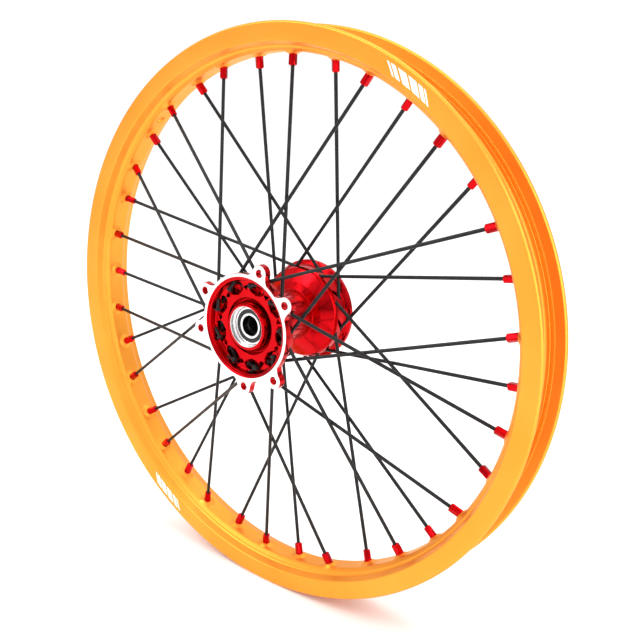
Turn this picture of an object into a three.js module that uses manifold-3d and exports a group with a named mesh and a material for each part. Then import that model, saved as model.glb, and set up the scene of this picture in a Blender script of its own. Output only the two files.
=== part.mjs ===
// Spoked front wheel of an off-road motorcycle: 21 x 1.60 rim, billet hub, 36 tangential spokes.
// Millimetres. The wheel's centre is the origin and it spins about +Y.
// The brake-disc side faces -Y, and +Z is up.
import * as THREE from 'three';
import { mergeVertices } from 'three/addons/utils/BufferGeometryUtils.js';
import Module from 'manifold-3d';

const wasm = await Module();
wasm.setup();

// ---------- driving dimensions ----------
const GAP = 0.3; // air left between pieces that touch
const SPOKES = 36;
const SPOKE_STEP = 360 / SPOKES; // degrees between nipples
const FIRST_SPOKE = 16.7; // angle of spoke 01's nipple, degrees

const RIM_R = 277.5; // top of the rim flange
const RIM_HALF = 24.9; // half the overall rim width
const FLANGE_THICK = 4.6; // leaves 40.6 mm (1.60 in) between the flanges
const BEAD_R = 263.5; // tyre bead seat
const SIDE_INNER_R = 260.5; // inner edge of the flat side of the rim
const LEDGE_R = 258.6; // underside of the bead seat
const WELL_R = 252; // hub-facing surface of the drop centre
const WELL_THICK = 3.2;
const WELL_HALF = 9.2; // half width of the drop centre's flat
const WELL_IN_HALF = 8.2; // the same on the tyre side
const KNEE_R = 254.8; // where the drop centre's wall turns outwards to the ledge
const KNEE_HALF = 13.3;
const LEDGE_HALF = 15.4; // half the distance between the ledges' inner edges
const RIM_BEVEL = 1.4; // on the flanges' edges
const HUMP_HALF = 12.6; // half the distance between the humps beside the bead seats
const HUMP_HIGH = 1;
const HUMP_WIDE = 1.8; // half of a hump's width
const RIM_STEPS = 72;
const NIPPLE_HOLE_R = 3.95;
const RIM_DRILL = 20.4; // how far a nipple's hole is drilled outwards from its middle
const VALVE_R = 4.15;
const VALVE_DRILL = 30;
const VALVE_SIDES = 16;
const VALVE_ANGLE = FIRST_SPOKE + 11.5 * SPOKE_STEP; // midway between two nipples

const SPOKE_R = 1.7;
const HEAD_R = 3.2;
const HEAD_LONG = 2.6;
const NIPPLE_R = 3.5;
const NIPPLE_TOP_R = 4.8; // flared head in the tyre channel
const NIPPLE_THROUGH = 4.4; // from the visible length's end to the flared head
const NIPPLE_TOP_LONG = 2.4;
const NIPPLE_NOSE = 1; // taper at the nipple's hub end
const CHAMFER = 0.6; // on small turned edges
const NIPPLE_MID_R = 246.1; // wheel radius at the middle of a nipple's visible length
const NIPPLE_HALF = 6.8; // half of its visible length
const NIPPLE_SHIFT = 0.35; // each nipple sits this many degrees towards the way its spoke leans
const SPOKE_SIDES = 6;

// The four layers of spokes. tangent: distance from the axle line; hubY: where the spoke's line is
// nearest the axle; rimY: at the nipple; head: how far the head is from that nearest point.
const LAYERS = [
  { lean: 1, tangent: 35.6, hubY: 39.1, rimY: 2.3, head: 14 }, // far flange, inner row
  { lean: 1, tangent: 36.75, hubY: -50.7, rimY: -2.5, head: 17 }, // disc flange, outer row
  { lean: -1, tangent: 39.3, hubY: 45.2, rimY: 3.2, head: 14 }, // far flange, outer row
  { lean: -1, tangent: 36.75, hubY: -42.4, rimY: -4.0, head: 14 }, // disc flange, inner row
];

const HUB_STEPS = 36;
const DISC_FACE_Y = -53.2; // face that the brake disc bolts to
const DISC_RING_IN = 49;
const DISC_RING_OUT = 52.3;
const LUG_THICK = 6.8;
const LUG_CIRCLE_R = 57.9;
const LUG_R = 8.2;
const LUG_ROOT = 13; // half width where a lug meets the ring
const LUG_OVERLAP = 2.5; // how far a lug reaches into the ring
const LUG_WAIST = 1; // how far the curve into the ring stays off the ring and the lug's side
const LUG_HOLE_R = 3.4;
const LUG_PAIR_HALF = 20; // degrees from the middle of a pair to each of its lugs
const LUG_PAIR_AT = 50.5; // angle of the first pair
const DISC_WALL_R = 47.1;
const DISC_WALL_BACK = -36;
const BARREL_R = 25.5;
const BARREL_DISC_Y = -18;
const BARREL_FAR_Y = 20;
const FAR_WALL_R = 46.5;
const FAR_WALL_FRONT = 32.5;
const FAR_LIP_R = 51.2;
const FAR_LIP_THICK = 3.6;
const FAR_LIP_FOOT = 6; // from the far face to where the lip leaves the wall
const FAR_RING_IN = 48.2;
const FAR_FACE_Y = 52.5;
const RING_BEVEL_WIDE = 3.2; // inside each flange's ring
const RING_BEVEL_DEEP = 1.8;
const WEB_Y = 45; // the web's face inside each flange, from the wheel's centre
const WEB_IN_R = 27.5;
const WEB_OUT_R = 43.5;
const GROOVE_Y = 38; // bottom of the groove round the boss
const GROOVE_DRAFT = 0.6; // how much narrower the groove is at its bottom, each side
const BOSS_R = 24;
const BOSS_Y = 49.7;
const BOSS_BEVEL = 1.8;
const BOSS_SHOULDER_Y = 46; // where the boss's bevel starts
const POCKETS = 9;
const POCKET_R = 38;
const POCKET_HALF_WIDE = 9;
const POCKET_HALF_DEEP = 5.2;
const POCKET_FLOOR_Y = 36.6;
const POCKET_CORNER = 3;
const POCKET_BULGE = 2; // how far a pocket's outer side bows out
const POCKET_TAPER = 1; // how much narrower a pocket is at its outer side, each side
const POCKET_OVER = 4; // how far a pocket's cutter stands out of the web
const POCKET_AT = { disc: 36, far: 6 };
const HOLE_CLEAR = 0.45; // spoke hole's radius over the spoke's
const HEAD_POCKET_R = 4.3;
const HEAD_POCKET_LONG = 9; // room to slide a spoke in behind its head
const HEAD_SEAT = 1; // from the head's underside to the wider pocket's end
const SPOKE_HOLE_END = 60; // past the flange, along the spoke

const SEAL_BORE_R = 19.5;
const BEARING_OUT_R = 18.5; // 20 x 37 x 9 ball bearing
const BEARING_IN_R = 10;
const BEARING_WIDE = 9;
const BEARING_Y = 43.8; // outer face of each bearing
const SHOULDER_R = 15.5;
const BALL_R = 2.8;
const BALL_CIRCLE_R = 14.35;
const BALLS = 9;
const BEARING_STEPS = 30;
const INNER_LAND_R = 12.3;
const OUTER_LAND_R = 16.4;
const GROOVE_R = 3.4;
const SPACER_R = 13.2;
const SEAL_THICK = 0.8;
const SEAL_SUNK = 0.1; // seal's face below the race's face
const CAGE_HALF = 0.7; // half the cage ring's radial thickness
const CAGE_HALF_WIDE = 0.9;
const CAGE_STEPS = 27; // a multiple of the number of balls
const GROOVE_HALF_ANGLE = 52; // each race's ball groove, degrees to either side

// ---------- materials ----------
const look = (color, roughness, metalness) =>
  new THREE.MeshStandardMaterial({ color, roughness, metalness });
const GOLD = look(0xe8952a, 0.45, 0.9);
const RED = look(0xc4121a, 0.22, 0.9);
const BLACK = look(0x1a1a1b, 0.4, 0.6);
const STEEL = look(0xc9cbcc, 0.2, 1);
const RUBBER = look(0x161617, 0.7, 0);
const CAGE = look(0xb9a05a, 0.35, 0.9);

// ---------- helpers ----------
const rad = THREE.MathUtils.degToRad;
const wheel = new THREE.Group();

/** A closed three.js geometry as a manifold solid, turned right side out if need be. */
function toSolid(geometry) {
  const bare = new THREE.BufferGeometry();
  bare.setAttribute('position', geometry.attributes.position.clone());
  if (geometry.index) bare.setIndex(geometry.index.clone());
  const merged = mergeVertices(bare, 1e-4);
  const points = merged.attributes.position.array;
  const corners = merged.index.array;
  const triangles = [];
  let volume = 0;
  for (let i = 0; i < corners.length; i += 3) {
    const [a, b, c] = [corners[i], corners[i + 1], corners[i + 2]];
    if (a === b || b === c || c === a) continue;
    triangles.push(a, b, c);
    const [p, q, r] = [a, b, c].map((n) => new THREE.Vector3().fromArray(points, n * 3));
    volume += p.dot(q.cross(r));
  }
  if (volume < 0) {
    for (let i = 0; i < triangles.length; i += 3) {
      [triangles[i + 1], triangles[i + 2]] = [triangles[i + 2], triangles[i + 1]];
    }
  }
  const mesh = new wasm.Mesh({
    numProp: 3,
    vertProperties: new Float32Array(points),
    triVerts: new Uint32Array(triangles),
  });
  return new wasm.Manifold(mesh);
}

/** The solid's surface as a three.js geometry. */
function toGeometry(solid) {
  const mesh = solid.getMesh();
  const geometry = new THREE.BufferGeometry();
  geometry.setAttribute('position', new THREE.BufferAttribute(mesh.vertProperties, 3));
  geometry.setIndex(new THREE.BufferAttribute(mesh.triVerts, 1));
  geometry.computeVertexNormals();
  return geometry;
}

function add(name, solid, material) {
  const mesh = new THREE.Mesh(toGeometry(solid), material);
  mesh.name = name;
  wheel.add(mesh);
}

/** A ring or solid of revolution about +Y from its [radius, y] outline. */
function turned(outline, steps) {
  const points = outline.map(([r, y]) => new THREE.Vector2(r, y));
  const onAxis = outline[0][0] === 0 && outline[outline.length - 1][0] === 0;
  if (!onAxis) points.push(points[0].clone());
  return toSolid(new THREE.LatheGeometry(points, steps));
}

/** A geometry moved by a matrix, as a solid. */
function placed(geometry, matrix) {
  return toSolid(geometry.clone().applyMatrix4(matrix));
}

/** The matrix that puts a thing made along +Y onto a spoke's line, its origin at `from`. */
function along(from, direction) {
  const turn = new THREE.Quaternion().setFromUnitVectors(new THREE.Vector3(0, 1, 0), direction);
  return new THREE.Matrix4().compose(from, turn, new THREE.Vector3(1, 1, 1));
}

/** A point at wheel radius r, angle in degrees, and y. */
function at(r, angle, y) {
  return new THREE.Vector3(r * Math.cos(rad(angle)), y, r * Math.sin(rad(angle)));
}

/** Points on a quarter or other arc, angles in degrees, as [radius, y] pairs. */
function arc(r, y, radius, from, to, steps) {
  return Array.from({ length: steps + 1 }, (_, i) => {
    const a = rad(from + ((to - from) * i) / steps);
    return [r + radius * Math.cos(a), y + radius * Math.sin(a)];
  });
}

const mirrored = (outline) => outline.map(([r, y]) => [r, -y]).reverse();

// ---------- spokes ----------
/** Each spoke's line: the point nearest the axle, its direction to the nipple, and their distance. */
function spokeLine(index) {
  const layer = LAYERS[index % LAYERS.length];
  const angle = FIRST_SPOKE + SPOKE_STEP * index + NIPPLE_SHIFT * layer.lean;
  const swing = THREE.MathUtils.radToDeg(Math.acos(layer.tangent / NIPPLE_MID_R));
  const near = at(layer.tangent, angle + layer.lean * swing, layer.hubY);
  const nipple = at(NIPPLE_MID_R, angle, layer.rimY);
  const direction = nipple.clone().sub(near);
  const long = direction.length();
  return { near, direction: direction.normalize(), long, head: layer.head };
}

/** A spoke with its nipple screwed on: one turned outline along the spoke's own line. */
function spokeOutline({ head, long }) {
  const end = long - NIPPLE_HALF;
  const rim = long + NIPPLE_HALF;
  return [
    [0, head - HEAD_LONG],
    [HEAD_R, head - HEAD_LONG + CHAMFER],
    [HEAD_R, head - CHAMFER],
    [SPOKE_R, head + CHAMFER],
    [SPOKE_R, end],
    [NIPPLE_R, end + NIPPLE_NOSE],
    [NIPPLE_R, rim + NIPPLE_THROUGH],
    [NIPPLE_TOP_R, rim + NIPPLE_THROUGH + CHAMFER],
    [0, rim + NIPPLE_THROUGH + NIPPLE_TOP_LONG],
  ];
}

const lines = Array.from({ length: SPOKES }, (_, i) => spokeLine(i));
const spokeName = (i) => `spoke_${String(i + 1).padStart(2, '0')}`;

lines.forEach((line, i) => {
  const outline = spokeOutline(line).map(([r, s]) => new THREE.Vector2(r, s));
  const body = new THREE.LatheGeometry(outline, SPOKE_SIDES);
  add(spokeName(i), placed(body, along(line.near, line.direction)), BLACK);
});

// ---------- rim ----------
function rimOutline() {
  const half = [
    [WELL_R, WELL_HALF],
    [KNEE_R, KNEE_HALF],
    [LEDGE_R, LEDGE_HALF],
    [SIDE_INNER_R - CHAMFER, RIM_HALF - RIM_BEVEL - CHAMFER],
    [SIDE_INNER_R, RIM_HALF - RIM_BEVEL],
    [RIM_R - RIM_BEVEL, RIM_HALF],
    [RIM_R, RIM_HALF - RIM_BEVEL],
    [RIM_R - RIM_BEVEL, RIM_HALF - FLANGE_THICK],
    [BEAD_R, RIM_HALF - FLANGE_THICK],
    [BEAD_R, HUMP_HALF + HUMP_WIDE],
    [BEAD_R + HUMP_HIGH, HUMP_HALF],
    [BEAD_R, HUMP_HALF - HUMP_WIDE],
    [WELL_R + WELL_THICK, WELL_IN_HALF],
  ];
  return [...half, ...mirrored(half)];
}

/** A round rod from `start` to `end` along a spoke's line, used to drill its holes. */
function drill(line, radius, start, end, sides = SPOKE_SIDES) {
  const rod = new THREE.CylinderGeometry(radius, radius, end - start, sides);
  rod.translate(0, (start + end) / 2, 0);
  return placed(rod, along(line.near, line.direction));
}

function makeRim() {
  let rim = turned(rimOutline(), RIM_STEPS);
  for (const line of lines) {
    rim = rim.subtract(drill(line, NIPPLE_HOLE_R, line.long, line.long + RIM_DRILL));
  }
  const valve = new THREE.CylinderGeometry(VALVE_R, VALVE_R, VALVE_DRILL, VALVE_SIDES);
  const out = at(1, VALVE_ANGLE, 0);
  return rim.subtract(placed(valve, along(out.clone().multiplyScalar(WELL_R), out)));
}
add('rim', makeRim(), GOLD);

// ---------- hub ----------
/** One flange's hollow side, from its outer rim in to the bearing bore; y counts outwards. */
function cupOutline(rimR, faceY) {
  return [
    [rimR, faceY],
    [rimR - RING_BEVEL_WIDE, faceY - RING_BEVEL_DEEP],
    [WEB_OUT_R, WEB_Y],
    [WEB_IN_R, WEB_Y],
    [WEB_IN_R - GROOVE_DRAFT, GROOVE_Y],
    [BOSS_R + GROOVE_DRAFT, GROOVE_Y],
    [BOSS_R, BOSS_SHOULDER_Y],
    [BOSS_R - BOSS_BEVEL, BOSS_Y],
    [SEAL_BORE_R, BOSS_Y],
    [SEAL_BORE_R, BEARING_Y + GAP],
    [BEARING_OUT_R + GAP, BEARING_Y + GAP],
    [BEARING_OUT_R + GAP, BEARING_Y - BEARING_WIDE - GAP],
    [SHOULDER_R, BEARING_Y - BEARING_WIDE - GAP],
  ];
}

function hubOutline() {
  const outside = [
    [DISC_RING_OUT, DISC_FACE_Y],
    [DISC_RING_OUT, DISC_FACE_Y + LUG_THICK],
    [DISC_WALL_R, DISC_FACE_Y + LUG_THICK + CHAMFER],
    [DISC_WALL_R, DISC_WALL_BACK],
    [BARREL_R, BARREL_DISC_Y],
    [BARREL_R, BARREL_FAR_Y],
    [FAR_WALL_R, FAR_WALL_FRONT],
    [FAR_WALL_R, FAR_FACE_Y - FAR_LIP_FOOT],
    [FAR_LIP_R, FAR_FACE_Y - FAR_LIP_THICK],
    [FAR_LIP_R, FAR_FACE_Y],
  ];
  const disc = cupOutline(DISC_RING_IN, -DISC_FACE_Y).map(([r, y]) => [r, -y]);
  const far = cupOutline(FAR_RING_IN, FAR_FACE_Y);
  return [...outside, ...far, ...disc.reverse()];
}

/** A brake-disc lug: a rounded tongue that widens into the ring, made in the XZ plane. */
function lug(angle) {
  const root = DISC_RING_OUT - LUG_OVERLAP;
  const turnR = DISC_RING_OUT + LUG_WAIST;
  const turnHalf = LUG_R + LUG_WAIST;
  const shape = new THREE.Shape();
  shape.moveTo(root, -LUG_ROOT);
  shape.quadraticCurveTo(turnR, -turnHalf, LUG_CIRCLE_R, -LUG_R);
  shape.absarc(LUG_CIRCLE_R, 0, LUG_R, -Math.PI / 2, Math.PI / 2, false);
  shape.quadraticCurveTo(turnR, turnHalf, root, LUG_ROOT);
  const hole = new THREE.Path();
  hole.absarc(LUG_CIRCLE_R, 0, LUG_HOLE_R, 0, 2 * Math.PI, true);
  shape.holes.push(hole);
  const depth = LUG_THICK;
  const geometry = new THREE.ExtrudeGeometry(shape, { depth, bevelEnabled: false, curveSegments: 4 });
  // the shape's X stays radial, its Y becomes +Z and its depth runs along -Y from the lug's back
  geometry.rotateX(Math.PI / 2);
  geometry.translate(0, DISC_FACE_Y + LUG_THICK, 0);
  return placed(geometry, new THREE.Matrix4().makeRotationY(-rad(angle)));
}

/** A rounded pocket cut into a flange's web from outside. */
function pocket(angle, side) {
  const shape = new THREE.Shape();
  const w = POCKET_HALF_WIDE;
  const inner = POCKET_R - POCKET_HALF_DEEP;
  const outer = POCKET_R + POCKET_HALF_DEEP - POCKET_BULGE;
  shape.moveTo(inner, -w + POCKET_CORNER);
  shape.quadraticCurveTo(inner, -w, inner + POCKET_CORNER, -w);
  shape.lineTo(outer, -w + POCKET_TAPER);
  shape.quadraticCurveTo(outer + POCKET_CORNER, 0, outer, w - POCKET_TAPER);
  shape.lineTo(inner + POCKET_CORNER, w);
  shape.quadraticCurveTo(inner, w, inner, w - POCKET_CORNER);
  const depth = WEB_Y + POCKET_OVER - POCKET_FLOOR_Y;
  const geometry = new THREE.ExtrudeGeometry(shape, { depth, bevelEnabled: false, curveSegments: 2 });
  geometry.rotateX(Math.PI / 2);
  geometry.translate(0, side > 0 ? POCKET_FLOOR_Y + depth : -POCKET_FLOOR_Y, 0);
  return placed(geometry, new THREE.Matrix4().makeRotationY(-rad(angle)));
}

function makeHub() {
  let hub = turned(hubOutline(), HUB_STEPS);
  for (const turn of [0, 120, 240]) {
    hub = hub.add(lug(LUG_PAIR_AT + turn - LUG_PAIR_HALF));
    hub = hub.add(lug(LUG_PAIR_AT + turn + LUG_PAIR_HALF));
  }
  for (let i = 0; i < POCKETS; i += 1) {
    const turn = (360 / POCKETS) * i;
    hub = hub.subtract(pocket(POCKET_AT.disc + turn, -1));
    hub = hub.subtract(pocket(POCKET_AT.far + turn, 1));
  }
  for (const line of lines) {
    const seat = line.head + HEAD_SEAT;
    hub = hub.subtract(drill(line, SPOKE_R + HOLE_CLEAR, line.head, SPOKE_HOLE_END));
    hub = hub.subtract(drill(line, HEAD_POCKET_R, line.head - HEAD_POCKET_LONG, seat));
  }
  return hub;
}
add('hub_shell', makeHub(), RED);

// ---------- bearings and spacer ----------
/** A bearing's parts; side -1 is the disc side, 1 the far side. y counts outwards from the centre. */
function addBearing(label, side) {
  const face = BEARING_Y;
  const back = BEARING_Y - BEARING_WIDE;
  const middle = (face + back) / 2;
  const flip = (outline) => outline.map(([r, y]) => [r, side * y]);
  const steps = BEARING_STEPS;

  const inner = [
    [BEARING_IN_R, back],
    [INNER_LAND_R, back],
    ...arc(BALL_CIRCLE_R, middle, GROOVE_R, 180 + GROOVE_HALF_ANGLE, 180 - GROOVE_HALF_ANGLE, 2),
    [INNER_LAND_R, face],
    [BEARING_IN_R, face],
  ];
  add(`inner_race_${label}`, turned(flip(inner), steps), STEEL);

  const outer = [
    [BEARING_OUT_R, back],
    [BEARING_OUT_R, face],
    [OUTER_LAND_R, face],
    ...arc(BALL_CIRCLE_R, middle, GROOVE_R, GROOVE_HALF_ANGLE, -GROOVE_HALF_ANGLE, 2),
    [OUTER_LAND_R, back],
  ];
  add(`outer_race_${label}`, turned(flip(outer), steps), STEEL);

  const cage = [
    [BALL_CIRCLE_R - CAGE_HALF, middle - CAGE_HALF_WIDE],
    [BALL_CIRCLE_R + CAGE_HALF, middle - CAGE_HALF_WIDE],
    [BALL_CIRCLE_R + CAGE_HALF, middle + CAGE_HALF_WIDE],
    [BALL_CIRCLE_R - CAGE_HALF, middle + CAGE_HALF_WIDE],
  ];
  let balls = turned(flip(cage), CAGE_STEPS);
  for (let i = 0; i < BALLS; i += 1) {
    const ball = new THREE.SphereGeometry(BALL_R, 6, 5);
    const centre = at(BALL_CIRCLE_R, (360 / BALLS) * i, side * middle);
    ball.translate(centre.x, centre.y, centre.z);
    balls = balls.add(toSolid(ball));
  }
  add(`balls_and_cage_${label}`, balls, CAGE);

  for (const [where, from, to] of [
    ['outer', face - SEAL_SUNK - SEAL_THICK, face - SEAL_SUNK],
    ['inner', back + SEAL_SUNK, back + SEAL_SUNK + SEAL_THICK],
  ]) {
    const seal = [
      [INNER_LAND_R + GAP, from],
      [OUTER_LAND_R - GAP, from],
      [OUTER_LAND_R - GAP, to],
      [INNER_LAND_R + GAP, to],
    ];
    add(`seal_${label}_${where}`, turned(flip(seal), steps), RUBBER);
  }
}
addBearing('disc_side', -1);
addBearing('far_side', 1);

const spacerEnd = BEARING_Y - BEARING_WIDE - GAP;
const spacer = [
  [BEARING_IN_R, -spacerEnd],
  [SPACER_R, -spacerEnd],
  [SPACER_R, spacerEnd],
  [BEARING_IN_R, spacerEnd],
];
add('bearing_spacer', turned(spacer, BEARING_STEPS), BLACK);

export default wheel;
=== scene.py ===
"""The looks of the spoked wheel: anodised rim, 36 spokes with their nipples, two-flange hub and its bearings.

Outlines and sizes are in millimetres and become metres where a mesh is made. The wheel turns about +Y and its
brake-disc side faces -Y. Angles in the wheel's plane are in degrees, from +X towards +Z.
"""

import math

import bpy
import numpy as np
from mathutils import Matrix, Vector


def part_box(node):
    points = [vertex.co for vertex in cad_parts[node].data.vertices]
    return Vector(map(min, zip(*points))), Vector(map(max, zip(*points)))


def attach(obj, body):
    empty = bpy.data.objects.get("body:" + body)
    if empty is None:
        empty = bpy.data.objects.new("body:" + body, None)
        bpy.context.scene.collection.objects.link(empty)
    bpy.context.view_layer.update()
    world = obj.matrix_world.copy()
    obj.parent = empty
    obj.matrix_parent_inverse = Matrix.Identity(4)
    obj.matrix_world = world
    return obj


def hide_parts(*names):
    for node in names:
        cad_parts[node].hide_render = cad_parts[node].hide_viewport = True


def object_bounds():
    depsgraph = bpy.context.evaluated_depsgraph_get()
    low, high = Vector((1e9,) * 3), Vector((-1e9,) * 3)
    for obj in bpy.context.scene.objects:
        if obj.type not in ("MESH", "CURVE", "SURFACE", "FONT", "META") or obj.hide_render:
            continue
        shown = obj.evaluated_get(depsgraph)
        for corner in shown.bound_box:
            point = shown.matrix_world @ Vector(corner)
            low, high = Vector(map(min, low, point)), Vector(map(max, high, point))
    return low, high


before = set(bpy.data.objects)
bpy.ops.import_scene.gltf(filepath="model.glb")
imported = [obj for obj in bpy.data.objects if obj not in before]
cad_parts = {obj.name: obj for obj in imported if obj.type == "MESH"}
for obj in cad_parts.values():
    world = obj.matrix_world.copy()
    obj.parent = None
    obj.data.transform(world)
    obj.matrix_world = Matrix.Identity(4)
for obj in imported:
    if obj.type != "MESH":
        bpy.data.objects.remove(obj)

cad_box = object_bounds()

MM = 0.001
# a hair off +Y, because a ring's side direction is found by crossing with +Y itself
ALONG_Y = np.array([0, 1, 1e-9])
SPOKES = 36
SIDES = {"disc_side": -1, "far_side": 1}

# the rim, from its CAD node's box
RIM_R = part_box("rim")[1].z / MM
RIM_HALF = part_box("rim")[1].y / MM
WELL_R = RIM_R - 25.5
FLANGE_THICK = 4.6
FLANGE_Y = RIM_HALF - FLANGE_THICK
BEAD_R = RIM_R - 14
SIDE_IN_R = RIM_R - 17
SIDE_OUT_R = RIM_R - 1.6
SIDE_SLANT = 1.4
RIM_SHARP = 40
PRINT_IN_R = RIM_R - 13.6
PRINT_OUT_R = RIM_R - 5.2
PRINT_PROUD = 0.06
PRINT_BARS = [(-4.2, 0.5), (-3.1, 1.1), (-1.2, 1.9), (1.2, 1.9), (3.3, 1.1), (4.5, 0.5)]
PRINT_LEAN = 2.2
SECTOR_STEPS = 26
DIMPLE_OUT = 8.6
DIMPLE_IN = 4.3
DIMPLE_HIGH = 2.1
NIPPLE_HOLE_R = 3.95
VALVE_ANGLE = 131.7
VALVE_R = 4.15
KNURL_PITCH = 1.9
KNURL_IN = 264.3
KNURL_OUT = 268.2
KNURL_HIGH = 0.45

# a nipple and its spoke; the profiles give (distance, radius), and for a nipple how square it is there
NIPPLE_LONG = 20.4
NIPPLE_SHANK_R = 3.45
NIPPLE_HEAD_R = 4.7
NIPPLE_SHARP = 26
NIPPLE_ROUND_R = 3.8
NIPPLE_HALF_FLAT = 3.2
NIPPLE_CORNER_R = 3.95
SPOKE_R = 1.7
SPOKE_IN_NIPPLE = 11
SPOKE_SHARP = 50
HEAD_R = 3.2

# the hub, from its CAD node's box
DISC_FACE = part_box("hub_shell")[0].y / MM
FAR_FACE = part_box("hub_shell")[1].y / MM
HUB_STEPS = 216
HUB_SHARP = 32
FAR_RING_OUT = 51.2
LUG_THICK = 6.8
LUG_HOLE_R = 3.4
LUG_CIRCLE_R = 57.9
LUG_R = 8.2
LUG_ROOT = 13
LUG_ANGLES = [50.5 + pair + lug for pair in (0, 120, 240) for lug in (-20, 20)]
RING_IN = 49
RING_OUT = 52.3
WEB_Y = 45
POCKETS = 9
POCKET_R = 38
POCKET_HALF_WIDE = 9
POCKET_HALF_DEEP = 5.2
POCKET_FLOOR = 36.6
POCKET_AT = {"disc_side": 36, "far_side": 6}
BORE_R = 19.5
SEAT_R = 18.8
SPOKE_HOLE_R = 2.15
HEAD_POCKET_R = 4.3

# the bearings, from their CAD nodes' boxes
RACE_OUT_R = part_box("outer_race_far_side")[1].z / MM
RACE_IN_R = 10
BEARING_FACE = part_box("outer_race_far_side")[1].y / MM
BEARING_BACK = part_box("outer_race_far_side")[0].y / MM
BALL_CIRCLE_R = 14.35
BALLS = 9
BALL_R = 2.85
GROOVE_R = 2.95
INNER_LAND_R = 12.3
OUTER_LAND_R = 16.4
SPACER_R = 13.2
SPACER_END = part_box("bearing_spacer")[1].y / MM


# ---------- materials ----------
class Nodes:
    """A material's nodes, with short calls for the few kinds used here."""

    def __init__(self, name, colour, metallic, roughness):
        self.material = bpy.data.materials.new(name)
        self.material.use_nodes = True
        self.tree = self.material.node_tree
        self.shader = self.tree.nodes["Principled BSDF"]
        self.shader.inputs["Base Color"].default_value = (*colour, 1)
        self.shader.inputs["Metallic"].default_value = metallic
        self.shader.inputs["Roughness"].default_value = roughness
        self.place = self.tree.nodes.new("ShaderNodeTexCoord").outputs["Object"]

    def link(self, a, b):
        self.tree.links.new(a, b)

    def noise(self, scale, detail=2.0):
        node = self.tree.nodes.new("ShaderNodeTexNoise")
        node.inputs["Scale"].default_value = scale
        node.inputs["Detail"].default_value = detail
        self.link(self.place, node.inputs["Vector"])
        return node.outputs["Fac"]

    def math(self, kind, a, b=None):
        node = self.tree.nodes.new("ShaderNodeMath")
        node.operation = kind
        for socket, value in zip(node.inputs, (a, b)):
            if isinstance(value, (int, float)):
                socket.default_value = value
            elif value is not None:
                self.link(value, socket)
        return node.outputs[0]

    def turned_marks(self, pitch_mm):
        """A sine across the wheel's radius: the fine rings that a lathe leaves."""
        flat = self.tree.nodes.new("ShaderNodeVectorMath")
        flat.operation = "MULTIPLY"
        flat.inputs[1].default_value = (1, 0, 1)
        self.link(self.place, flat.inputs[0])
        radius = self.tree.nodes.new("ShaderNodeVectorMath")
        radius.operation = "LENGTH"
        self.link(flat.outputs["Vector"], radius.inputs[0])
        turns = self.math("MULTIPLY", radius.outputs["Value"], 2 * math.pi / (pitch_mm * MM))
        return self.math("SINE", turns)

    def bump(self, height, strength, distance_mm):
        node = self.tree.nodes.new("ShaderNodeBump")
        node.inputs["Strength"].default_value = strength
        node.inputs["Distance"].default_value = distance_mm * MM
        self.link(height, node.inputs["Height"])
        self.link(node.outputs["Normal"], self.shader.inputs["Normal"])

    def vary_roughness(self, value, low, high):
        node = self.tree.nodes.new("ShaderNodeMapRange")
        node.inputs["From Min"].default_value = 0.3
        node.inputs["From Max"].default_value = 0.7
        node.inputs["To Min"].default_value = low
        node.inputs["To Max"].default_value = high
        self.link(value, node.inputs["Value"])
        self.link(node.outputs["Result"], self.shader.inputs["Roughness"])

    def vary_colour(self, value, dark, light):
        node = self.tree.nodes.new("ShaderNodeValToRGB")
        node.color_ramp.elements[0].position = 0.3
        node.color_ramp.elements[0].color = (*dark, 1)
        node.color_ramp.elements[1].position = 0.7
        node.color_ramp.elements[1].color = (*light, 1)
        self.link(value, node.inputs["Fac"])
        self.link(node.outputs["Color"], self.shader.inputs["Base Color"])


def rim_gold():
    """Bead-blasted, gold-anodised aluminium: a fine even grain and a slight drift in tone."""
    m = Nodes("rim_gold", (0.96, 0.37, 0.045), 1, 0.46)
    m.vary_colour(m.noise(14), (0.93, 0.345, 0.038), (0.99, 0.39, 0.052))
    grain = m.noise(1500, 4)
    m.vary_roughness(grain, 0.42, 0.52)
    m.bump(grain, 0.22, 0.12)
    return m.material


def anodised_red(name, roughness, marks_mm):
    """Polished red-anodised aluminium, with faint rings where it was turned."""
    m = Nodes(name, (0.52, 0.004, 0.007), 1, roughness)
    m.vary_colour(m.noise(40), (0.47, 0.003, 0.006), (0.57, 0.005, 0.009))
    m.vary_roughness(m.noise(300, 3), roughness - 0.04, roughness + 0.05)
    if marks_mm:
        m.bump(m.turned_marks(marks_mm), 0.12, 0.03)
    else:
        m.bump(m.noise(700, 3), 0.1, 0.05)
    return m.material


def machined():
    """Bare aluminium off the lathe."""
    m = Nodes("hub_machined", (0.86, 0.87, 0.88), 1, 0.3)
    m.vary_roughness(m.noise(500, 3), 0.24, 0.36)
    m.bump(m.turned_marks(0.6), 0.2, 0.03)
    return m.material


def spoke_black():
    m = Nodes("spoke_black", (0.012, 0.012, 0.013), 0.0, 0.33)
    m.shader.inputs["Specular IOR Level"].default_value = 0.2
    m.vary_colour(m.noise(260, 3), (0.009, 0.009, 0.010), (0.017, 0.017, 0.018))
    grain = m.noise(1800, 2)
    m.vary_roughness(grain, 0.28, 0.40)
    m.bump(grain, 0.15, 0.05)
    return m.material


def bearing_steel():
    m = Nodes("bearing_steel", (0.78, 0.79, 0.80), 1, 0.16)
    m.vary_roughness(m.noise(400, 2), 0.12, 0.22)
    m.bump(m.turned_marks(0.35), 0.08, 0.02)
    return m.material


def seal_rubber():
    m = Nodes("seal_rubber", (0.014, 0.014, 0.015), 0, 0.55)
    grain = m.noise(900, 4)
    m.vary_roughness(grain, 0.45, 0.65)
    m.bump(grain, 0.3, 0.06)
    return m.material


def cage_brass():
    m = Nodes("cage_brass", (0.70, 0.50, 0.22), 1, 0.32)
    m.vary_roughness(m.noise(600, 3), 0.26, 0.4)
    m.bump(m.noise(900, 2), 0.15, 0.04)
    return m.material


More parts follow.
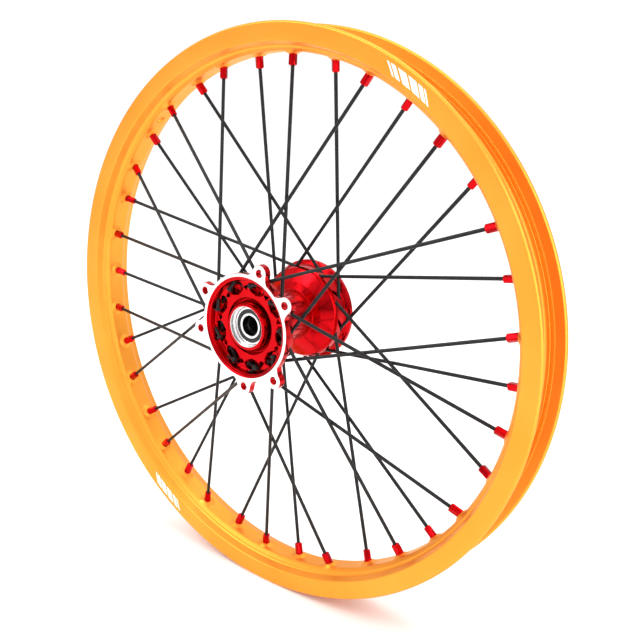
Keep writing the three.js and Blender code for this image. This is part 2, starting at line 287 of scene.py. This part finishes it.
# The spacer is near-black as painted shade: it stands in for the dark inside of the deep bore, where a bare
# steel tube would reflect the opening brightly.
def spacer_black():
    m = Nodes("spacer_black", (0.01, 0.01, 0.011), 0.3, 0.42)
    m.vary_roughness(m.noise(500, 2), 0.36, 0.5)
    m.bump(m.turned_marks(0.5), 0.15, 0.03)
    return m.material


def print_white():
    m = Nodes("print_white", (0.9, 0.9, 0.88), 0, 0.4)
    m.vary_roughness(m.noise(800, 3), 0.35, 0.5)
    return m.material


GOLD = rim_gold()
HUB_RED = anodised_red("hub_red", 0.17, 0.8)
NIPPLE_RED = anodised_red("nipple_red", 0.2, 0)
MACHINED = machined()
BLACK = spoke_black()
STEEL = bearing_steel()
RUBBER = seal_rubber()
BRASS = cage_brass()
# painted shade for the inside of the bore, carried by the spacer's near-black colour
SPACER_PAINTED_SHADE = spacer_black()
WHITE = print_white()


# ---------- mesh helpers ----------
def skin(rings, closed):
    """Faces over rings of points. Closed joins the last ring to the first; otherwise both ends are capped."""
    count, around = rings.shape[:2]
    rows = count if closed else count - 1
    i, j = (g.ravel() for g in np.meshgrid(np.arange(rows), np.arange(around), indexing="ij"))
    i2 = (i + 1) % count
    j2 = (j + 1) % around
    corners = [i * around + j, i * around + j2, i2 * around + j2, i2 * around + j]
    faces = np.stack(corners, 1).tolist()
    if not closed:
        last = (count - 1) * around
        faces.append(list(range(around))[::-1])
        faces.append(list(range(last, last + around)))
    return rings.reshape(-1, 3), faces


def joined(*shells):
    """Several (points, faces) as one."""
    points = []
    faces = []
    start = 0
    for p, f in shells:
        points.append(p)
        faces += [[start + k for k in face] for face in f]
        start += len(p)
    return np.concatenate(points), faces


def outward(shell):
    """The shell with its faces pointing out."""
    points, faces = shell
    volume = 0.0
    for face in faces:
        a = points[face[0]]
        for k in range(1, len(face) - 1):
            volume += np.dot(a, np.cross(points[face[k]], points[face[k + 1]]))
    return (points, faces) if volume > 0 else (points, [face[::-1] for face in faces])


def piece(name, shell, *materials, body="wheel", slot=None, stands_for=(), sharp=34):
    """A finished object from a shell in millimetres."""
    mesh = bpy.data.meshes.new(name)
    mesh.from_pydata((shell[0] * MM).tolist(), [], shell[1])
    for material in materials:
        mesh.materials.append(material)
    made = bpy.data.objects.new(name, mesh)
    bpy.context.scene.collection.objects.link(made)
    smooth(mesh, sharp)
    if body:
        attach(made, body)
        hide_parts(*stands_for)
    return made


def smooth(mesh, sharp):
    mesh.shade_smooth()
    mesh.set_sharp_from_angle(angle=math.radians(sharp))


def boolean(target, operation, shell):
    """Joins a shell to the target, or cuts it away; the shell's own parts don't overlap."""
    other = piece("tool", shell, body=None)
    change = target.modifiers.new("change", "BOOLEAN")
    change.operation = operation
    change.solver = "MANIFOLD"
    change.object = other
    graph = bpy.context.evaluated_depsgraph_get()
    graph.update()
    old = target.data
    target.data = bpy.data.meshes.new_from_object(target.evaluated_get(graph))
    target.modifiers.clear()
    bpy.data.meshes.remove(old)
    bpy.data.objects.remove(other)


def rounded(corners, steps=5):
    """The closed outline through (radius, y, fillet) corners, each rounded to its fillet."""
    spots = np.array([c[:2] for c in corners], float)
    outline = []
    for k, (_, _, fillet) in enumerate(corners):
        here = spots[k]
        before = spots[k - 1] - here
        after = spots[(k + 1) % len(spots)] - here
        long_before = np.linalg.norm(before)
        long_after = np.linalg.norm(after)
        u = before / long_before
        v = after / long_after
        half = math.acos(np.clip(u @ v, -1, 1)) / 2
        cut = min(fillet / math.tan(half), 0.45 * long_before, 0.45 * long_after)
        if cut < 0.02:
            outline.append(here)
            continue
        radius = cut * math.tan(half)
        centre = here + (u + v) / np.linalg.norm(u + v) * radius / math.sin(half)
        start = here + u * cut - centre
        end = here + v * cut - centre
        first = math.atan2(start[1], start[0])
        sweep = (math.atan2(end[1], end[0]) - first + math.pi) % (2 * math.pi) - math.pi
        for step in range(steps + 1):
            angle = first + sweep * step / steps
            outline.append(centre + radius * np.array([math.cos(angle), math.sin(angle)]))
    return np.array(outline)


def mirrored(corners):
    return [(r, -y, fillet) for r, y, fillet in corners][::-1]


def turned(outline, angles):
    """Rings of points: the [radius, y] outline turned to each angle, in radians."""
    outline = np.asarray(outline, float)
    r = outline[:, 0][:, None]
    y = np.repeat(outline[:, 1][:, None], len(angles), 1)
    return np.stack([r * np.cos(angles), y, r * np.sin(angles)], -1)


def full_turn(steps):
    return np.arange(steps) * 2 * math.pi / steps


def along(axis, across, profile, sides, shape=None):
    """Rings round the (start, direction) axis, the first point at the angle across.

    The profile gives (distance, radius, squareness); shape gives the radii of a fully square ring.
    """
    start, direction = axis
    side = np.cross(direction, (0, 1, 0))
    side /= np.linalg.norm(side)
    up = np.cross(side, direction)
    angles = full_turn(sides) + across
    rings = []
    for distance, radius, squareness in profile:
        radii = np.full(sides, float(radius))
        if squareness and shape is not None:
            radii = radii * (1 - squareness) + shape(full_turn(sides)) * squareness
        ring = start + direction * distance
        ring = ring + radii[:, None] * (np.cos(angles)[:, None] * side + np.sin(angles)[:, None] * up)
        rings.append(ring)
    return np.array(rings)


def rod(axis, profile, sides):
    return outward(skin(along(axis, 0, [(s, r, 0) for s, r in profile], sides), False))


# ---------- the spokes' lines ----------
def spoke_line(node):
    """A spoke's line, from its CAD node: the middle of its head's end, its direction and its length."""
    points = np.array([v.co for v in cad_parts[node].data.vertices]) / MM
    middle = points.mean(0)
    direction = np.linalg.svd(points - middle)[2][0]
    if np.hypot(*(middle + direction)[[0, 2]]) < np.hypot(*(middle - direction)[[0, 2]]):
        direction = -direction
    reach = (points - middle) @ direction
    return middle + direction * reach.min(), direction, reach.max() - reach.min()


NODES = [f"spoke_{i + 1:02d}" for i in range(SPOKES)]
LINES = [spoke_line(node) for node in NODES]


# ---------- rim ----------
def rim_outline():
    half = [
        (WELL_R, 9.2, 4.0),
        (WELL_R + 2.9, 13.3, 1.6),
        (WELL_R + 4.6, 14.2, 0.5),
        (WELL_R + 5.6, 15.4, 0.8),
        (SIDE_IN_R - 0.6, RIM_HALF - SIDE_SLANT - 0.8, 0.8),
        (SIDE_IN_R, RIM_HALF - SIDE_SLANT, 0.6),
        (SIDE_OUT_R, RIM_HALF, 1.3),
        (RIM_R, RIM_HALF - 1.6, 1.3),
        (RIM_R, RIM_HALF - 3.2, 1.2),
        (RIM_R - 1.3, FLANGE_Y, 0.8),
        (BEAD_R + 0.3, FLANGE_Y, 0.8),
        (BEAD_R, 14.8, 0.6),
        (BEAD_R + 1, 13.0, 1.2),
        (BEAD_R, 11.0, 1.0),
        (WELL_R + 3.2, 7.6, 3.0),
    ]
    return rounded([*half, *mirrored(half)], 4)


def refined(outline, longest, where):
    """The outline with its long stretches split, where both ends are inside the given radius."""
    made = []
    for k, here in enumerate(outline):
        after = outline[(k + 1) % len(outline)]
        made.append(here)
        parts = int(np.linalg.norm(after - here) // longest) + 1
        if max(here[0], after[0]) < where:
            made += [here + (after - here) * n / parts for n in range(1, parts)]
    return np.array(made)


def rim_angles():
    """Angles for the rim's rings, closer together near the nipples, radians."""
    first = math.atan2(*(LINES[0][0] + LINES[0][1] * LINES[0][2])[[2, 0]])
    step = 2 * math.pi / SPOKES
    share = np.arange(SECTOR_STEPS) / SECTOR_STEPS
    within = share + 0.09 * np.sin(2 * math.pi * share)
    return np.concatenate([first + step * (i + within - 0.5) for i in range(SPOKES)])


def dimpled(rings):
    """Raises the well into a low mound, hubwards, round each nipple."""
    points = rings.reshape(-1, 3)
    radius = np.hypot(points[:, 0], points[:, 2])
    well = radius < WELL_R + 8
    drop = np.zeros(len(points))
    for start, direction, long in LINES:
        foot = start + direction * (long - NIPPLE_LONG / 2)
        near = np.nonzero(well & (np.linalg.norm(points - foot, axis=1) < 3 * DIMPLE_OUT))[0]
        rel = points[near] - start
        away = np.linalg.norm(rel - np.outer(rel @ direction, direction), axis=1)
        t = np.clip((DIMPLE_OUT - away) / (DIMPLE_OUT - DIMPLE_IN), 0, 1)
        drop[near] = np.maximum(drop[near], DIMPLE_HIGH * t * t * (3 - 2 * t))
    inward = points.copy()
    inward[:, 1] = 0
    inward /= radius[:, None]
    return (points - inward * drop[:, None]).reshape(rings.shape)


def knurl(side):
    """A band of fine ribs on a flange's inner face, where it grips the tyre."""
    ribs = round(2 * math.pi * KNURL_IN / KNURL_PITCH)
    angles = full_turn(ribs * 4)
    high = KNURL_HIGH * np.tile([0, 0.8, 1, 0.8], ribs)
    flat = np.zeros_like(high)
    back = np.full_like(high, -0.3)
    rows = [(KNURL_IN, back), (KNURL_IN, flat), (KNURL_IN + 0.5, high), (KNURL_OUT - 0.5, high)]
    rows += [(KNURL_OUT, flat), (KNURL_OUT, back)]
    rings = [np.stack([r * np.cos(angles), side * (FLANGE_Y - h), r * np.sin(angles)], -1) for r, h in rows]
    return outward(skin(np.array(rings), True))


def make_rim():
    outline = refined(rim_outline(), 1.3, WELL_R + 8)
    shell = outward(skin(dimpled(turned(outline, rim_angles())), True))
    rim = piece("rim_ring", shell, GOLD, slot="rim_gold", stands_for=["rim"], sharp=RIM_SHARP)
    holes = [
        rod((start, direction), [(long - NIPPLE_LONG + 8, NIPPLE_HOLE_R), (long + 12, NIPPLE_HOLE_R)], 40)
        for start, direction, long in LINES
    ]
    out = np.array([math.cos(math.radians(VALVE_ANGLE)), 0, math.sin(math.radians(VALVE_ANGLE))])
    valve = [(WELL_R - 3, VALVE_R + 3.2), (WELL_R + 0.6, VALVE_R), (WELL_R + 8, VALVE_R)]
    holes.append(rod((out * 0, out), valve, 48))
    boolean(rim, "DIFFERENCE", joined(*holes))
    smooth(rim.data, RIM_SHARP)
    for name, side in SIDES.items():
        band = piece(f"rim_bead_ribs_{name}", knurl(side), GOLD, slot="rim_gold")
        band.parent = rim


def stripes(name, centre, lean):
    """Plain slanted bars printed on the rim's disc-side face; each is (middle, width) in degrees."""
    shells = []
    for middle, wide in PRINT_BARS:
        rings = []
        for t in np.linspace(0, 1, 7):
            r = PRINT_IN_R + (PRINT_OUT_R - PRINT_IN_R) * t
            up_the_slant = (r - SIDE_IN_R) / (SIDE_OUT_R - SIDE_IN_R)
            surface = RIM_HALF - SIDE_SLANT + SIDE_SLANT * up_the_slant
            turn = centre + lean * (t - 0.5) * PRINT_LEAN
            a, b = (math.radians(turn + middle + end * wide / 2) for end in (-1, 1))
            face = -(surface + PRINT_PROUD)
            back = -(surface - 0.4)
            corners = ((a, face), (b, face), (b, back), (a, back))
            rings.append([(r * math.cos(q), y, r * math.sin(q)) for q, y in corners])
        shells.append(outward(skin(np.array(rings), False)))
    piece(name, joined(*shells), WHITE, slot="print_white")


# ---------- spokes and nipples ----------
def nipple_section(angles):
    """A square with rounded corners, as radii."""
    flat = NIPPLE_HALF_FLAT / np.maximum(abs(np.cos(angles)), abs(np.sin(angles)))
    return np.minimum(flat, NIPPLE_CORNER_R)


def make_spoke(i):
    node = NODES[i]
    start, direction, long = LINES[i]
    under = long - NIPPLE_LONG
    head = [(0, 0.9), (0.25, 2.0), (0.8, 2.9), (1.5, HEAD_R), (2.1, HEAD_R), (2.6, 2.7), (3.2, 2.0)]
    profile = [*head, (4, SPOKE_R), (under + SPOKE_IN_NIPPLE, SPOKE_R)]
    shell = rod((start, direction), profile, 20)
    piece(f"{node}_rod", shell, BLACK, slot="spoke_black", stands_for=[node], sharp=SPOKE_SHARP)
    steps = [
        (0, 2.2, 0), (0.35, 2.7, 0.3), (0.9, 3.1, 0.8), (1.6, 3.4, 1), (9.4, 3.4, 1),
        (10.2, NIPPLE_ROUND_R, 0.2), (10.6, NIPPLE_ROUND_R, 0), (13.4, NIPPLE_ROUND_R, 0),
        (13.7, NIPPLE_SHANK_R, 0), (17.9, NIPPLE_SHANK_R, 0),
        (18.5, NIPPLE_HEAD_R, 0), (19.6, 4.6, 0), (20.2, 3.9, 0),
        (NIPPLE_LONG, 3.2, 0), (NIPPLE_LONG, 2.1, 0), (19.3, 1.9, 0),
    ]
    turn = math.radians(37 * i % 90)
    rings = along((start + direction * under, direction), turn, steps, 48, nipple_section)
    shell = outward(skin(rings, False))
    piece(f"{node}_nipple", shell, NIPPLE_RED, slot="nipple_red", stands_for=[node], sharp=NIPPLE_SHARP)


# ---------- hub ----------
def cup(ring_r, face, side):
    """One flange's hollow side, from its outer edge in to the bearing's seat; side is its sign of y."""
    corners = [
        (ring_r, face, 0.35),
        (ring_r - 1.5, face - 0.9, 0.3),
        (ring_r - 1.7, face - 1.7, 0.3),
        (ring_r - 3.4, face - 2.1, 0.5),
        (43.8, WEB_Y + 0.2, 1.2),
        (27.6, WEB_Y, 0.8),
        (27.0, 38.2, 1.6),
        (24.7, 38.2, 1.6),
        (24.0, WEB_Y + 1, 0.8),
        (22.6, 49.5, 0.5),
        (21.6, 49.7, 0.2),
        (BORE_R, 49.7, 0.4),
        (BORE_R, BEARING_FACE + 1.6, 0.2),
        (BORE_R - 0.35, BEARING_FACE + 1.2, 0.2),
        (BORE_R - 0.35, BEARING_FACE + 0.3, 0.2),
        (SEAT_R, BEARING_FACE + 0.2, 0.1),
        (SEAT_R, BEARING_BACK - 0.3, 0.3),
        (15.5, BEARING_BACK - 0.3, 0.3),
    ]
    return [(r, side * y, fillet) for r, y, fillet in corners]


def hub_outline():
    back = DISC_FACE + LUG_THICK
    outside = [
        (RING_OUT, DISC_FACE, 0.35),
        (RING_OUT, back, 0.5),
        (47.1, back + 0.6, 1.0),
        (47.1, -36, 2.4),
        (25.5, -18, 7),
        (25.5, 19.6, 0.3),
        (26.1, 20.2, 0.3),
        (33, 23.2, 9),
        (44.6, 30.2, 4),
        (46.5, 33.4, 1.2),
        (46.5, 45.6, 1.6),
        (48.6, 46.6, 0.6),
        (FAR_RING_OUT, 48.4, 0.8),
        (FAR_RING_OUT, FAR_FACE, 0.9),
    ]
    far = cup(RING_IN - 0.8, FAR_FACE, 1)
    disc = cup(RING_IN, -DISC_FACE, -1)
    return rounded([*outside, *far, *disc[::-1]], 5)


def inset(outline, distance):
    """A closed 2-D outline, counter-clockwise, moved inwards."""
    edge = np.roll(outline, -1, 0) - np.roll(outline, 1, 0)
    edge /= np.linalg.norm(edge, axis=1)[:, None]
    return outline + distance * np.stack([-edge[:, 1], edge[:, 0]], 1)


def curve(a, control, b, steps):
    """Points on a quadratic curve from a, short of b."""
    t = (np.arange(steps) / steps)[:, None]
    a, control, b = (np.array(p, float) for p in (a, control, b))
    return (1 - t) ** 2 * a + 2 * t * (1 - t) * control + t * t * b


def slab(outline, levels, angle):
    """A closed (radial, sideways) outline at each (y, inset) level, turned by angle in the wheel's plane."""
    c, s = math.cos(math.radians(angle)), math.sin(math.radians(angle))
    rings = []
    for y, distance in levels:
        p = inset(outline, distance)
        x = p[:, 0] * c - p[:, 1] * s
        z = p[:, 0] * s + p[:, 1] * c
        rings.append(np.stack([x, np.full(len(p), y), z], 1))
    return outward(skin(np.array(rings), False))


def lug(angle):
    """A brake-disc lug: a rounded tongue that widens into the ring."""
    root = RING_OUT - 2.2
    turn = np.linspace(-math.pi / 2, math.pi / 2, 25)[:-1]
    tip = np.stack([LUG_CIRCLE_R + LUG_R * np.cos(turn), LUG_R * np.sin(turn)], 1)
    outline = np.concatenate([
        curve((root, -LUG_ROOT), (RING_OUT + 1, -LUG_R - 1), (LUG_CIRCLE_R, -LUG_R), 12),
        tip,
        curve((LUG_CIRCLE_R, LUG_R), (RING_OUT + 1, LUG_R + 1), (root, LUG_ROOT), 12),
        [(root, LUG_ROOT)],
    ])
    back = DISC_FACE + LUG_THICK + 0.2
    levels = [(DISC_FACE, 0.35), (DISC_FACE + 0.35, 0), (back - 0.4, 0), (back, 0.4)]
    return slab(outline, levels, angle)


def lug_hole(angle):
    middle = LUG_CIRCLE_R * np.array([math.cos(math.radians(angle)), 0, math.sin(math.radians(angle))])
    back = DISC_FACE + LUG_THICK + 0.2
    spans = [
        (DISC_FACE - 1, 5.0), (DISC_FACE + 0.6, LUG_HOLE_R),
        (back - 0.4, LUG_HOLE_R), (back + 1, 4.8),
    ]
    return rod((middle, ALONG_Y), spans, 40)


def pocket(angle, side):
    """A rounded pocket in a flange's web, with a chamfered rim."""
    w = POCKET_HALF_WIDE
    inner = POCKET_R - POCKET_HALF_DEEP
    outer = POCKET_R + POCKET_HALF_DEEP
    outline = np.concatenate([
        curve((inner, 1.5), (inner - 1.2, 0), (inner, -1.5), 6),
        curve((inner, -1.5), (inner + 1.5, -w), (POCKET_R - 0.5, -w), 8),
        curve((POCKET_R - 0.5, -w), (outer - 1, -w), (outer - 0.3, -w + 4), 8),
        curve((outer - 0.3, -w + 4), (outer + 0.6, 0), (outer - 0.3, w - 4), 8),
        curve((outer - 0.3, w - 4), (outer - 1, w), (POCKET_R - 0.5, w), 8),
        curve((POCKET_R - 0.5, w), (inner + 1.5, w), (inner, 1.5), 8),
    ])
    levels = [(POCKET_FLOOR, 1.2), (POCKET_FLOOR + 0.4, 0.4), (POCKET_FLOOR + 1.4, 0)]
    levels += [(WEB_Y - 0.7, 0), (WEB_Y + 0.1, -0.7), (WEB_Y + 1.2, -0.8)]
    return slab(outline, [(side * y, distance) for y, distance in levels], angle)


def spoke_hole(line):
    """A spoke's hole through its flange, with the wider pocket behind its head."""
    start, direction, _ = line
    spans = [(-6.4, HEAD_POCKET_R), (3.4, HEAD_POCKET_R), (3.9, SPOKE_HOLE_R), (30, SPOKE_HOLE_R)]
    return rod((start, direction), spans, 28)


def make_hub():
    shell = outward(skin(turned(hub_outline(), full_turn(HUB_STEPS)), True))
    hub = piece("hub_body", shell, HUB_RED, MACHINED, slot="hub_red", stands_for=["hub_shell"])
    boolean(hub, "UNION", joined(*[lug(a) for a in LUG_ANGLES]))
    boolean(hub, "DIFFERENCE", joined(*[lug_hole(a) for a in LUG_ANGLES]))
    for name, side in SIDES.items():
        turns = [POCKET_AT[name] + 360 / POCKETS * k for k in range(POCKETS)]
        boolean(hub, "DIFFERENCE", joined(*[pocket(a, side) for a in turns]))
    for layer in range(4):
        boolean(hub, "DIFFERENCE", joined(*[spoke_hole(line) for line in LINES[layer::4]]))
    for face in hub.data.polygons:
        x, y, z = face.center / MM
        flat = y < DISC_FACE + 0.2 and face.normal.y < -0.9
        bore = math.hypot(x, z) < BORE_R + 0.5 and abs(y) > BEARING_FACE - 1
        face.material_index = int(flat or bore)
    smooth(hub.data, HUB_SHARP)


# ---------- bearings ----------
def groove(centre_y, first, last):
    angles = np.radians(np.linspace(first, last, 15))
    return [(BALL_CIRCLE_R + GROOVE_R * math.cos(a), centre_y + GROOVE_R * math.sin(a), 0) for a in angles]


def cage_ribbon(centre_y, side):
    """One half of a pressed cage: a ribbon that bows out round each ball."""
    angles = full_turn(BALLS * 36)
    apart = (angles + math.pi / BALLS) % (2 * math.pi / BALLS) - math.pi / BALLS
    reach = BALL_R + 0.12
    over = np.sqrt(np.clip(reach**2 - (BALL_CIRCLE_R * apart) ** 2, 0, None))
    y = np.maximum(over, 0.05)
    rings = []
    for r, lift in ((-0.75, 0), (0.75, 0), (0.75, 0.4), (-0.75, 0.4)):
        r = BALL_CIRCLE_R + r
        rings.append(np.stack([r * np.cos(angles), centre_y + side * (y + lift), r * np.sin(angles)], -1))
    return outward(skin(np.array(rings), True))


def ball(angle, y):
    middle = np.array([BALL_CIRCLE_R * math.cos(angle), y, BALL_CIRCLE_R * math.sin(angle)])
    bows = np.linspace(0.06, math.pi - 0.06, 15)
    profile = [(-BALL_R * math.cos(b), BALL_R * math.sin(b)) for b in bows]
    return rod((middle, ALONG_Y), profile, 24)


def make_bearing(label, side):
    middle = (BEARING_FACE + BEARING_BACK) / 2
    angles = full_turn(120)

    def ring(name, corners, material, slot, body="wheel"):
        outline = rounded([(r, side * y, fillet) for r, y, fillet in corners], 3)
        shell = outward(skin(turned(outline, angles), True))
        piece(f"{name}_fine", shell, material, body=body, slot=slot, stands_for=[name])

    ends = [(INNER_LAND_R, BEARING_FACE, 0.2), (RACE_IN_R, BEARING_FACE, 0.5), (RACE_IN_R, BEARING_BACK, 0.5)]
    corners = [(INNER_LAND_R, BEARING_BACK, 0.2), *groove(middle, 224, 136), *ends]
    ring(f"inner_race_{label}", corners, STEEL, "bearing_steel", "axle_side")
    ends = [
        (OUTER_LAND_R, BEARING_BACK, 0.2), (RACE_OUT_R, BEARING_BACK, 0.6), (RACE_OUT_R, BEARING_FACE, 0.6),
    ]
    corners = [(OUTER_LAND_R, BEARING_FACE, 0.2), *groove(middle, 44, -44), *ends]
    ring(f"outer_race_{label}", corners, STEEL, "bearing_steel")
    for where, face, out in (("outer", BEARING_FACE - 0.1, 1), ("inner", BEARING_BACK + 0.1, -1)):
        low = face - out * 0.8
        corners = [
            (INNER_LAND_R + 0.25, low, 0.1), (INNER_LAND_R + 0.25, face - out * 0.15, 0.15),
            (INNER_LAND_R + 0.9, face, 0.2), (INNER_LAND_R + 1.3, face - out * 0.3, 0.1),
            (OUTER_LAND_R - 1.0, face - out * 0.3, 0.1), (OUTER_LAND_R - 0.7, face, 0.2),
            (OUTER_LAND_R - 0.2, face - out * 0.1, 0.1), (OUTER_LAND_R - 0.2, low, 0.1),
        ]
        ring(f"seal_{label}_{where}", corners, RUBBER, "seal_rubber")
    cage = joined(*[cage_ribbon(side * middle, s) for s in (-1, 1)])
    balls = joined(*[ball(a, side * middle) for a in full_turn(BALLS)])
    node = f"balls_and_cage_{label}"
    made = piece(f"{node}_fine", joined(cage, balls), BRASS, STEEL, body=f"balls_{label}",
                 slot="cage_brass", stands_for=[node])
    for k, face in enumerate(made.data.polygons):
        face.material_index = int(k >= len(cage[1]))


def make_spacer():
    end = SPACER_END
    corners = [(RACE_IN_R, -end, 0.5), (SPACER_R, -end, 0.5), (SPACER_R, end, 0.5), (RACE_IN_R, end, 0.5)]
    shell = outward(skin(turned(rounded(corners, 3), full_turn(96)), True))
    piece("bearing_spacer_fine", shell, SPACER_PAINTED_SHADE, body="axle_side", slot="spacer_black",
          stands_for=["bearing_spacer"])


# ---------- the whole wheel ----------
make_rim()
stripes("rim_print_upper", 55.9, 1)
stripes("rim_print_lower", -122.6, 1)
for index in range(SPOKES):
    make_spoke(index)
make_hub()
for label, side in SIDES.items():
    make_bearing(label, side)
make_spacer()


# ---------- floor, light and camera ----------
def make_floor():
    mesh = bpy.data.meshes.new("floor")
    wide = 9
    low = cad_box[0].z
    corners = [(-wide, -wide, low), (wide, -wide, low), (wide, wide, low), (-wide, wide, low)]
    mesh.from_pydata(corners, [], [(0, 1, 2, 3)])
    floor = bpy.data.objects.new("floor", mesh)
    bpy.context.scene.collection.objects.link(floor)
    m = Nodes("floor", (0.97, 0.965, 0.96), 0, 0.9)
    m.vary_roughness(m.noise(3), 0.85, 0.95)
    mesh.materials.append(m.material)


def area_light(name, place, aim, wide, high, watts):
    light = bpy.data.lights.new(name, "AREA")
    light.shape = "RECTANGLE"
    light.size = wide
    light.size_y = high
    light.energy = watts
    made = bpy.data.objects.new(name, light)
    made.location = place
    made.rotation_euler = (Vector(aim) - Vector(place)).to_track_quat("-Z", "Y").to_euler()
    bpy.context.scene.collection.objects.link(made)


def make_world():
    """White all round to the eye; in reflections and as light it is dimmer near the horizon than overhead."""
    world = bpy.data.worlds.new("studio")
    world.use_nodes = True
    bpy.context.scene.world = world
    tree = world.node_tree
    shown = tree.nodes["Background"]
    shown.inputs["Color"].default_value = (1, 1, 1, 1)
    shown.inputs["Strength"].default_value = 1.05
    light = tree.nodes.new("ShaderNodeBackground")
    ramp = tree.nodes.new("ShaderNodeValToRGB")
    ramp.color_ramp.elements[0].position = 0.48
    ramp.color_ramp.elements[0].color = (0.35, 0.35, 0.35, 1)
    ramp.color_ramp.elements[1].position = 0.75
    ramp.color_ramp.elements[1].color = (1, 1, 1, 1)
    split = tree.nodes.new("ShaderNodeSeparateXYZ")
    coord = tree.nodes.new("ShaderNodeTexCoord")
    half = tree.nodes.new("ShaderNodeMath")
    half.operation = "MULTIPLY_ADD"
    half.inputs[1].default_value = 0.5
    half.inputs[2].default_value = 0.5
    tree.links.new(coord.outputs["Generated"], split.inputs[0])
    tree.links.new(split.outputs["Z"], half.inputs[0])
    tree.links.new(half.outputs[0], ramp.inputs["Fac"])
    tree.links.new(ramp.outputs["Color"], light.inputs["Color"])
    light.inputs["Strength"].default_value = 1.2
    path = tree.nodes.new("ShaderNodeLightPath")
    mix = tree.nodes.new("ShaderNodeMixShader")
    tree.links.new(path.outputs["Is Camera Ray"], mix.inputs["Fac"])
    tree.links.new(light.outputs[0], mix.inputs[1])
    tree.links.new(shown.outputs[0], mix.inputs[2])
    tree.links.new(mix.outputs[0], tree.nodes["World Output"].inputs["Surface"])


def make_camera():
    """From the disc side, a little above the axle, standing to the wheel's +X side."""
    azimuth = math.radians(42.58)
    elevation = math.radians(13.91)
    distance = 0.83278
    sideways = -0.0391
    upwards = 0.00886
    back = Vector((
        math.sin(azimuth) * math.cos(elevation),
        -math.cos(azimuth) * math.cos(elevation),
        math.sin(elevation),
    ))
    right = Vector((math.cos(azimuth), math.sin(azimuth), 0))
    data = bpy.data.cameras.new("camera")
    data.sensor_width = 36
    data.lens = 47.36
    data.shift_x = 0.125
    data.shift_y = -0.018
    data.clip_start = 0.01
    data.clip_end = 100
    camera = bpy.data.objects.new("camera", data)
    camera.location = back * distance + right * sideways + back.cross(right) * upwards
    camera.rotation_mode = "QUATERNION"
    camera.rotation_quaternion = (-back).to_track_quat("-Z", "Y")
    bpy.context.scene.collection.objects.link(camera)
    bpy.context.scene.camera = camera


make_floor()
make_world()
area_light("key", (-0.9, -1.5, 1.7), (0, 0, 0), 1.2, 1.2, 22)
area_light("strip_right", (1.7, -0.5, 0.5), (0, 0, 0), 0.3, 1.6, 12)
area_light("top", (0.2, 0.4, 2.2), (0, 0, 0), 1.6, 1.6, 18)
make_camera()
bpy.context.scene.view_settings.view_transform = "Standard"
